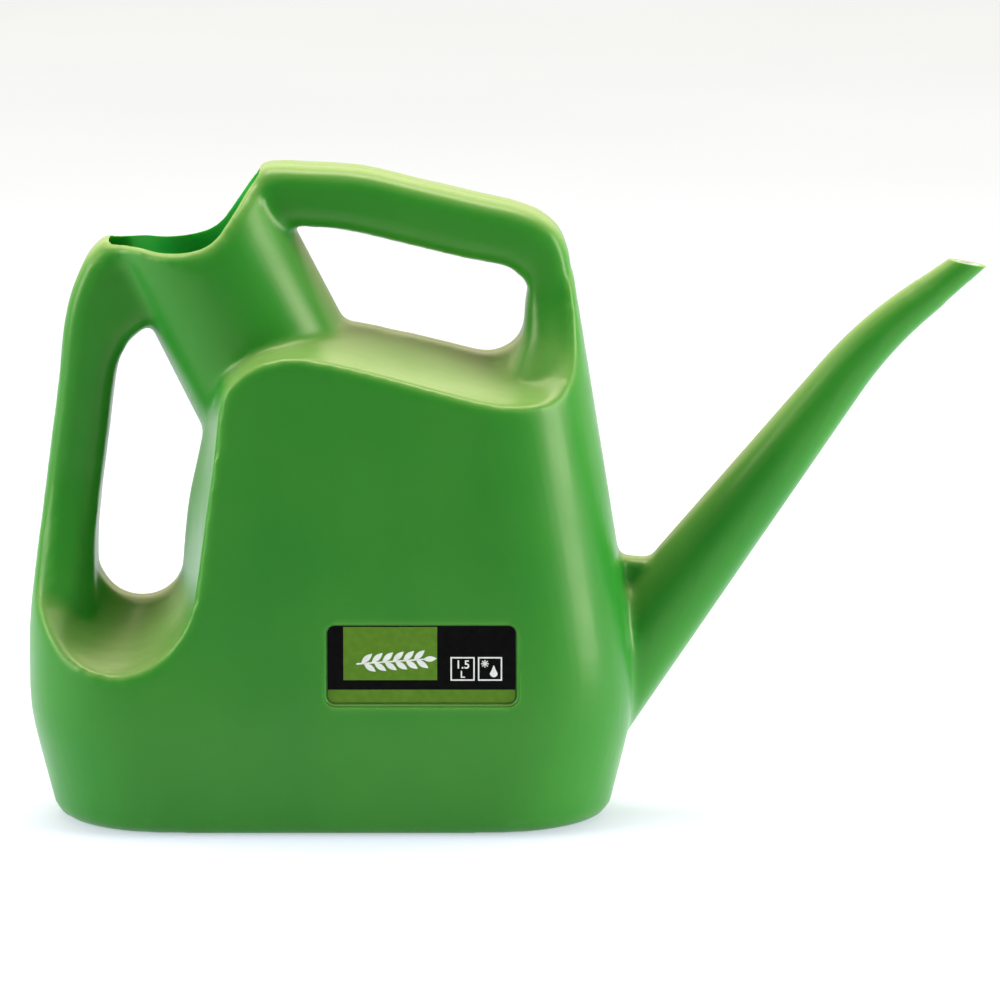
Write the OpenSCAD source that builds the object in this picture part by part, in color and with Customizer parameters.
// A small indoor watering can, blown in one piece from soft green plastic: a
// long rounded tank, a leaning filler neck with a saddle-shaped mouth, a rear
// handle and a top handle that are hollow tubes, and a long tapering spout.
// +X points along the spout, -Y is the side that carries the label, +Z is up,
// and the origin is the middle of the flat base. Millimetres throughout.

/* [Tank] */
// Length of the tank over its belt, the widest line round it
tank_len = 182; // [150:1:220]
// Depth of the tank over its belt, across the label side
tank_depth = 88.1; // [72:0.1:106]
// Height of the belt above the base
belt_h = 33; // [26:1:40]
// Height of the shoulder's edge where it meets the filler neck
shoulder_h = 140; // [130:1:150]
// How far the shoulder's edge falls from the neck to the spout side
shoulder_fall = 14; // [8:1:20]
// How far the shoulder's roof rises from its edge to the middle
roof_rise = 8.1; // [6:0.1:14]
// Radius of the tank's four upright corners, seen from above
corner_r = 37; // [26:1:40]
// Radius of the edge round the base
foot_r = 4.5; // [3:0.5:7]
// Thickness of the blown wall
wall_t = 1.8; // [1.2:0.1:2.4]

/* [Rear handle] */
// Width of the rear handle, seen from the side
rear_w = 17; // [13:0.5:21]
// Width of the finger gap between the rear handle and the tank
rear_gap = 28; // [24:0.5:34]
// Height of the finger gap's lowest point
rear_gap_low = 64; // [60:1:76]
// Height of the arch that closes the finger gap at the top
rear_gap_high = 146; // [140:1:150]
// How far the scooped recess below the finger gap drops to the side face
scoop_drop = 16; // [12:1:22]

/* [Top handle] */
// Height of the top handle's highest point
top_h = 196.2; // [190:0.1:206]
// Thickness of the top handle, seen from the side
top_w = 18; // [14:0.5:20]
// How far the top handle falls from the neck to its front bend
top_fall = 13.2; // [8:0.1:16]
// Depth of both handles, across the label side
handle_depth = 25; // [20:0.5:30]
// Radius of the handles' long edges
handle_r = 5; // [3:0.5:8]

/* [Filler neck] */
// Diameter of the neck where it leaves the tank
neck_d = 52.5; // [46:0.5:60]
// How much narrower the neck is at the mouth
neck_taper = 1.6; // [0:0.1:8]
// Angle at which the neck leans back from upright
neck_lean = 26.4; // [20:0.1:30]
// Height of the lowest point of the mouth's rim
mouth_h = 172; // [166:1:178]

/* [Spout] */
// Diameter of the spout at its root inside the tank
spout_d = 30; // [24:0.5:34]
// Diameter of the spout at its outlet
outlet_d = 9.2; // [7:0.1:12]
// Length of the spout along its middle, from its root to the outlet
spout_len = 177; // [150:1:200]
// Angle of the spout's straight part above level
spout_rise = 52.6; // [46:0.1:58]
// How far the spout bends over towards its outlet
spout_bend = 14.4; // [6:0.1:24]
// Height of the middle of the spout's root
spout_root_h = 32; // [28:1:38]
// Slope of the outlet's cut, falling away from the tank
outlet_slope = 10.7; // [0:0.1:20]

/* [Label] */
// Length of the label's recess
label_len = 56.4; // [40:0.2:70]
// Height of the label's recess
label_tall = 24; // [16:0.5:30]
// Distance of the recess's middle in front of the tank's middle
label_x = 27.2; // [10:0.2:36]
// Height of the recess's middle
label_h = 52.4; // [48:0.2:66]
// Depth of the recess below the side face
label_sink = 0.9; // [0.6:0.1:1.2]
// Thickness of the label's printed film
label_t = 0.3; // [0.2:0.05:0.4]
// Gap between the film and the recess's edge
label_gap = 0.4; // [0.2:0.05:0.8]
// Radius of the recess's corners
label_r = 2.6; // [1:0.1:4]

/* [Hidden] */

green = "#3f9a35";
dark_film = "#141614";

half_len = tank_len / 2;
half_depth = tank_depth / 2;
// Slopes of the walls: sideways shift for each millimetre of height
base_slope = 0.25;
base_face_slope = 0.14;
face_slope = 0.03;
front_slope = 0.15;
rear_slope = 0.133;
// How fast the tank's upright corners tighten with height
corner_slope = 0.02;
// Heights from which the front and rear walls begin to lean in
front_lean_h = belt_h + 15;
rear_lean_h = belt_h + 27;
// Points in a quarter of a ring: the tank's corners, and the tubes'
tank_steps = 9;
tube_steps = 6;
// Steps between two stations of a tube
span_steps = 3;
// Height of the unbroken band below the mouth's rim
rim_band = 3;
// Reach of a cutting shape beyond what it cuts
over = 40;

// ---- curves and skins ----

// A ramp that is 0 below zero and v above it, with a soft knee
function ramp(v) = (v + sqrt(v * v + 36)) / 2;

function unit(v) = v / norm(v);

function lerp(a, b, t) = a + (b - a) * t;

// Points of a smooth curve through all the given points
function curve(p, steps) = [
    for (i = [0 : len(p) - 2])
        let (a = p[max(i - 1, 0)], b = p[i], c = p[i + 1], d = p[min(i + 2, len(p) - 1)])
        for (k = [0 : steps - 1])
            let (t = k / steps)
            (2 * b + (c - a) * t + (2 * a - 5 * b + 4 * c - d) * t * t
                + (3 * b - a - 3 * c + d) * t * t * t) / 2,
    p[len(p) - 1]
];

// A rounded rectangle across a tube. A station is [ax, az, bx, bz, half depth,
// edge radius]: a and b are the tube's two edges in side view, with a on the
// left of the way the tube runs. inset moves the whole ring inwards.
function ring(s, inset, steps) =
    let (
        a = [s[0], s[1]], b = [s[2], s[3]], mid = (a + b) / 2, u = unit(b - a),
        w = norm(b - a) / 2 - inset, d = s[4] - inset,
        r = min(max(s[5] - inset, 0.5), 0.98 * w, 0.98 * d)
    )
    [for (q = [0 : 3], k = [0 : steps])
        let (
            turn = 90 * (q + k / steps),
            across = (q == 0 || q == 3 ? w - r : r - w) + r * cos(turn),
            deep = (q < 2 ? d - r : r - d) + r * sin(turn)
        )
        [mid[0] + u[0] * across, deep, mid[1] + u[1] * across]];

// A closed solid stretched over rings that all have the same number of points
module skin(rings) {
    n = len(rings[0]);
    last = len(rings) - 1;
    polyhedron(
        points = [for (one = rings) for (p = one) p],
        faces = concat(
            [[for (i = [0 : n - 1]) i]],
            [for (k = [0 : last - 1], i = [0 : n - 1])
                let (j = (i + 1) % n)
                each [[k * n + i, (k + 1) * n + i, (k + 1) * n + j],
                    [k * n + i, (k + 1) * n + j, k * n + j]]],
            [[for (i = [n - 1 : -1 : 0]) last * n + i]]
        ),
        convexity = 8
    );
}

module tube(stations, inset) {
    skin([for (s = curve(stations, span_steps)) ring(s, inset, tube_steps)]);
}

// ---- the can's outline in side view ----

function rear_x(z) = -half_len + base_slope * ramp(belt_h - z) + rear_slope * ramp(z - rear_lean_h);
function front_x(z) = half_len - base_slope * ramp(belt_h - z) - front_slope * ramp(z - front_lean_h);
function face_y(z) = half_depth - base_face_slope * ramp(belt_h - z) - face_slope * max(z - belt_h, 0);

// The tank's rear wall behind the finger gap, and where the neck leaves it
gap_x = -half_len + 3 + rear_w + rear_gap;
gap_mid_x = gap_x - rear_gap / 2;
crotch = [gap_x + 4.8, 116];

// The neck's rear edge runs up from the crotch and its front edge stands off it
neck_up = [-sin(neck_lean), cos(neck_lean)];
neck_across = [cos(neck_lean), sin(neck_lean)];
neck_run = (top_h - crotch[1]) / cos(neck_lean);
function neck_rear(s) = crotch + neck_up * s;
function neck_front(s) = neck_rear(s) + neck_across * (neck_d - neck_taper * s / neck_run);
// The ends of the mouth's rim: at the rear handle and at the top handle
rim_rear = [neck_rear((mouth_h + 2 - crotch[1]) / cos(neck_lean))[0] - 0.5, mouth_h + 2];
// Distance up the neck at which its front edge is at a given height
function front_at(z) = (z - crotch[1] - neck_across[1] * (neck_d - neck_taper)) / cos(neck_lean);
rim_front = [neck_front(front_at(top_h))[0], top_h];

// ---- solids: each takes the depth that its skin is moved inwards ----

// The tank as an upright stack, before its top is shaped
module tank_stack(inset) {
    floor_rings = [for (t = [0 : 30 : 90]) [inset + foot_r * (1 - sin(t)), foot_r * (1 - cos(t))]];
    heights = [for (z = [foot_r + 5 : 9 : top_h]) z];
    rings = concat(
        [for (f = floor_rings) [max(f[1], inset), f[0]]],
        [for (z = heights) [z, inset]]
    );
    skin([for (q = rings)
        let (z = q[0])
        ring([rear_x(z), z, front_x(z), z, face_y(z), corner_r - corner_slope * z], q[1], tank_steps)]);
}

// Pairs of [edge on the side face, ridge in the middle] along the tank's top,
// from the rear handle's root through the scoop, the shoulder and the front
low = rear_gap_low;
front = front_x(shoulder_h);
edge_front_h = shoulder_h - shoulder_fall;
top_pairs = [
    [[-half_len - 8, low + 16], [-half_len - 8, low + 26]],
    [[-half_len + 3, low + 5], [-half_len + 12, low + 17]],
    [[gap_mid_x - 22, low - scoop_drop + 7], [gap_mid_x - 13, low + 7]],
    [[gap_mid_x - 13, low - scoop_drop + 1], [gap_mid_x - 8, low + 1.5]],
    [[gap_mid_x - 5, low - scoop_drop], [gap_mid_x, low]],
    [[gap_mid_x + 5, low - scoop_drop + 4], [gap_mid_x + 8, low + 1.8]],
    [[gap_x - 1, low - scoop_drop + 12], [gap_x - 2, low + 6]],
    [[gap_x + 3, low + 8], [gap_x, low + 14]],
    [[gap_x + 6, 102], [gap_x + 2, 98]],
    [[gap_x + 9, 117], crotch],
    [[gap_x + 12, shoulder_h - 10], [gap_x + 8, shoulder_h - 6]],
    [[gap_x + 18, shoulder_h - 3], [gap_x + 18, shoulder_h + 4]],
    [[gap_x + 30, shoulder_h], [gap_x + 30, shoulder_h + roof_rise - 1]],
    [[gap_x + 46, shoulder_h - 2], [gap_x + 48, shoulder_h + roof_rise - 1]],
    [[front - 34, edge_front_h + 3], [front - 32, edge_front_h + roof_rise + 4]],
    [[front - 17, edge_front_h + 1], [front - 24, edge_front_h + roof_rise + 5]],
    [[front - 8, edge_front_h + 5], [front - 17, edge_front_h + roof_rise + 14]],
    [[front - 3, edge_front_h + 14], [front - 14, edge_front_h + roof_rise + 24]],
    [[front + 8, edge_front_h + 23], [front + 8, edge_front_h + roof_rise + 27]]
];
// Layers of the top's shape, as parts of the way from the handles' flat sides
// out to the side face
layer_at = [0, 0.08, 0.2, 0.36, 0.56, 0.78, 1, 1.3];

// Everything below the shaped top. Between the handles' flat sides it follows
// the ridge; from there it flares out to the side face's edge in a hollow curve
module top_shape(inset) {
    edge = curve([for (p = top_pairs) p[0]], 3);
    ridge = curve([for (p = top_pairs) p[1]], 3);
    n = len(edge);
    half_web = handle_depth / 2 - inset;
    flare = half_depth - 3 - handle_depth / 2;
    layers = concat(
        [for (i = [len(layer_at) - 1 : -1 : 0]) [-half_web - flare * layer_at[i], layer_at[i]]],
        [for (f = layer_at) [half_web + flare * f, f]]
    );
    skin([for (q = layers)
        let (
            y = q[0],
            blend = q[1] < 1 ? 1 - pow(1 - q[1], 2) : 1 + 0.3 * (q[1] - 1),
            line = [for (i = [0 : n - 1]) lerp(ridge[i], edge[i], blend)]
        )
        concat(
            [for (i = [0 : n - 1])
                let (t = unit(line[min(i + 1, n - 1)] - line[max(i - 1, 0)]))
                [line[i][0] + inset * t[1], y, line[i][1] - inset * t[0]]],
            [[half_len + over, y, line[n - 1][1]],
                [half_len + over, y, -over],
                [-half_len - over, y, -over],
                [-half_len - over, y, line[0][1]]]
        )]);
}

module tank_form(inset) {
    intersection() {
        tank_stack(inset);
        top_shape(inset);
    }
}

module neck_form(inset) {
    tube([for (s = [-30 : 20 : neck_run + 30])
        let (a = neck_rear(s), b = neck_front(s))
        [a[0], a[1], b[0], b[1], norm(b - a) / 2, norm(b - a) / 2]], inset);
}

module rear_handle_form(inset) {
    d = handle_depth / 2;
    tube(concat(
        [[rear_x(low - 18) + 0.4, low - 18, rear_x(low - 18) + rear_w + 3, low - 18, d, handle_r]],
        [for (z = [low : 20 : rear_gap_high - 8])
            [rear_x(z) + (z < low + 30 ? 0.6 : 0.1), z,
                rear_x(z) + rear_w + (z == low ? 2 : 0), z + 2, d, handle_r]],
        [[rim_rear[0] - 9.2, rear_gap_high + 9, rim_rear[0] + 8, rear_gap_high - 0.5, d, handle_r],
            [rim_rear[0] - 4.4, rim_rear[1] - 8, rim_rear[0] + 16, rear_gap_high + 4, d, handle_r],
            [rim_rear[0] + 3, rim_rear[1] + 5, rim_rear[0] + 24, rear_gap_high + 16, d, handle_r]]
    ), inset);
}

module top_handle_form(inset) {
    d = handle_depth / 2;
    w = top_w;
    x0 = rim_front[0];
    x1 = front_x(top_h - top_fall) - 13;
    slope = top_fall / (x1 - x0 - 24);
    function top_z(x) = top_h + 0.5 - slope * ramp(x - x0 - 24);
    tube(concat(
        [[x0 - 6, top_h + 1, x0 - 3, top_h - w, d, handle_r],
            [x0 + 11, top_h, x0 + 12, top_h - w, d, handle_r]],
        [for (t = [0.38, 0.6, 0.82])
            let (x = lerp(x0, x1, t))
            [x, top_z(x), x - 4, top_z(x) - w, d, handle_r]],
        [[x1, top_z(x1), x1 - 6, top_z(x1) - w + 1, d, handle_r],
            [x1 + 8.5, top_z(x1) - 5, x1 - 2, top_z(x1) - w - 1.5, d, handle_r],
            [x1 + 12.8, top_z(x1) - 13, x1 + 0.8, top_z(x1) - w - 5, d, handle_r],
            [front_x(159) - 1.5, 159, front_x(159) - 15, 154, d, handle_r],
            [front_x(148) - 1.6, 148, front_x(148) - 17.5, 145, d, handle_r],
            [front_x(136) - 3, 136, front_x(136) - 26, 132, d, handle_r]]
    ), inset);
}

// The spout's middle line: straight, then bent over by spout_bend
spout_root = [front_x(spout_root_h) - 14, spout_root_h];
spout_stations = 24;
bend_from = 0.71;
bend_to = 0.88;
function spout_angle(t) =
    spout_rise - spout_bend * min(max((t - bend_from) / (bend_to - bend_from), 0), 1);
function heading(angle) = [cos(angle), sin(angle)];
function spout_mid(i) = i == 0 ? spout_root
    : spout_mid(i - 1) + spout_len / spout_stations * heading(spout_angle((i - 0.5) / spout_stations));
function spout_station(i) =
    let (
        h = spout_angle(i / spout_stations), m = spout_mid(i),
        r = lerp(spout_d, outlet_d, i / spout_stations) / 2
    )
    [m[0] - r * sin(h), m[1] + r * cos(h), m[0] + r * sin(h), m[1] - r * cos(h), r, r];
outlet = spout_mid(spout_stations);
// The station after which the tip's own section begins
tip_from = 18;

module spout_form(inset) {
    skin([for (i = [0 : spout_stations + 2]) ring(spout_station(i), inset, tube_steps)]);
}

// ---- cuts ----

// Everything above the mouth's saddle-shaped rim
module mouth_cut() {
    rim = curve([
        rim_rear + [-14, 6],
        rim_rear,
        rim_rear + [10, -1.4],
        [rim_rear[0] + 23, mouth_h],
        [rim_rear[0] + 31, mouth_h + 2],
        [rim_front[0] - 10.5, mouth_h + 7.5],
        [rim_front[0] - 4.5, top_h - 7.5],
        rim_front,
        rim_front + [3.5, 8]
    ], 4);
    rotate([90, 0, 0])
        linear_extrude(height = tank_depth, center = true)
            polygon(concat(rim, [[rim_front[0] + 3.5, top_h + 2 * over], [rim_rear[0] - over, top_h + 2 * over],
                [rim_rear[0] - over, rim_rear[1] + 6]]));
}

// Everything above the outlet's sloping cut
module outlet_cut() {
    translate([outlet[0], 0, outlet[1]])
        rotate([0, outlet_slope, 0])
            translate([-over / 2, -over / 2, 0])
                cube([2 * over, over, over]);
}

// Everything beyond the plane across the spout where its tip begins
module beyond_tip() {
    m = (spout_mid(tip_from) + spout_mid(tip_from + 1)) / 2;
    translate([m[0], 0, m[1]])
        rotate([0, -spout_angle((tip_from + 0.5) / spout_stations), 0])
            translate([0, -over, -over])
                cube([2 * over, 2 * over, 2 * over]);
}

// All the space inside the can. The handles' hollows stop short of the mouth,
// so that the rim is an unbroken band
module cavity() {
    tank_form(wall_t);
    neck_form(wall_t);
    spout_form(wall_t);
    difference() {
        union() {
            rear_handle_form(wall_t);
            top_handle_form(wall_t);
        }
        translate([0, 0, -rim_band]) mouth_cut();
    }
}

// A plate with round corners, lying on the tilted side face: its outer side is
// sunk below the face, and it runs inwards, or outwards when thick is negative
module face_plate(shrink, sunk, thick) {
    tilt = atan(face_slope);
    translate([label_x, -face_y(label_h), label_h])
        rotate([90 + tilt, 0, 0])
            translate([0, 0, -sunk])
                linear_extrude(height = thick)
                    offset(label_r - shrink)
                        square([label_len - 2 * label_r, label_tall - 2 * label_r], center = true);
}

// ---- the sub-parts ----

module tank() {
    color(green) minkowski() difference() {
        tank_form(0);
        cavity();
        face_plate(0, label_sink, 3);
    }
}

module filler_neck() {
    color(green) minkowski() difference() {
        neck_form(0);
        tank_form(0);
        cavity();
        mouth_cut();
    }
}

module rear_handle() {
    color(green) minkowski() difference() {
        rear_handle_form(0);
        tank_form(0);
        neck_form(0);
        cavity();
        mouth_cut();
    }
}

module top_handle() {
    color(green) minkowski() difference() {
        top_handle_form(0);
        tank_form(0);
        neck_form(0);
        cavity();
        mouth_cut();
    }
}

module spout() {
    color(green) minkowski() difference() {
        spout_form(0);
        tank_form(0);
        cavity();
        beyond_tip();
    }
}

module spout_tip() {
    color(green) minkowski() difference() {
        intersection() {
            spout_form(0);
            beyond_tip();
        }
        spout_form(wall_t);
        outlet_cut();
    }
}

module front_label() {
    color(dark_film) face_plate(label_gap, label_sink, label_t);
}

tank();
filler_neck();
rear_handle();
top_handle();
spout();
spout_tip();
front_label();
